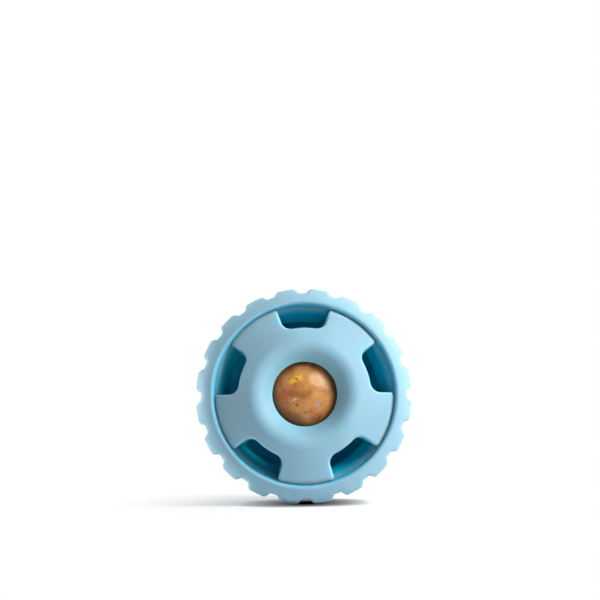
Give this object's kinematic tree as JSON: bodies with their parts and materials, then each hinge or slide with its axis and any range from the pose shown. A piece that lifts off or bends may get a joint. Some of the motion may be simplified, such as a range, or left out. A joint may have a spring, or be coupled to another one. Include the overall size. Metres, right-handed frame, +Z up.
{
  "type": "treat dispensing dog toy",
  "caption": "Wheel-shaped rubber treat toy with a lugged tread, a slotted screw-in cap and a frozen treat ball trapped between front and rear lick holes.",
  "frame": {"origin": "on the floor under the middle of the toy, where it stands on its tread", "axes": "+Z up, +Y along the wheel's axis towards the rear bowl, so the cap faces -Y, and +X to the right of someone who looks at the cap"},
  "size_m": [0.0878, 0.0512, 0.0878],
  "materials": {
    "tread_rubber": "satin sky-blue moulded rubber",
    "cap_rubber": "satin sky-blue moulded rubber",
    "treat": "frozen tan treat mix with dark specks, slightly wet"
  },
  "bodies": {
    "tread": {"tread_body": "tread_rubber"},
    "treat": {"treat_ball": "treat"},
    "cap": {"front_cap": "cap_rubber"}
  },
  "joints": [
    {"name": "cap_turn", "type": "hinge", "parent": "tread", "child": "treat", "pos_m": [0, 0.00013, 0.0439], "axis": [0, -1, 0], "range_deg": [0, 540]},
    {"name": "cap_rise", "type": "slide", "parent": "treat", "child": "cap", "axis": [0, -1, 0], "range_m": [0, 0.0105]}
  ],
  "couplings": [
    {"joint": "cap_rise", "follows": "cap_turn", "m_per_rad": 0.001114}
  ]
}
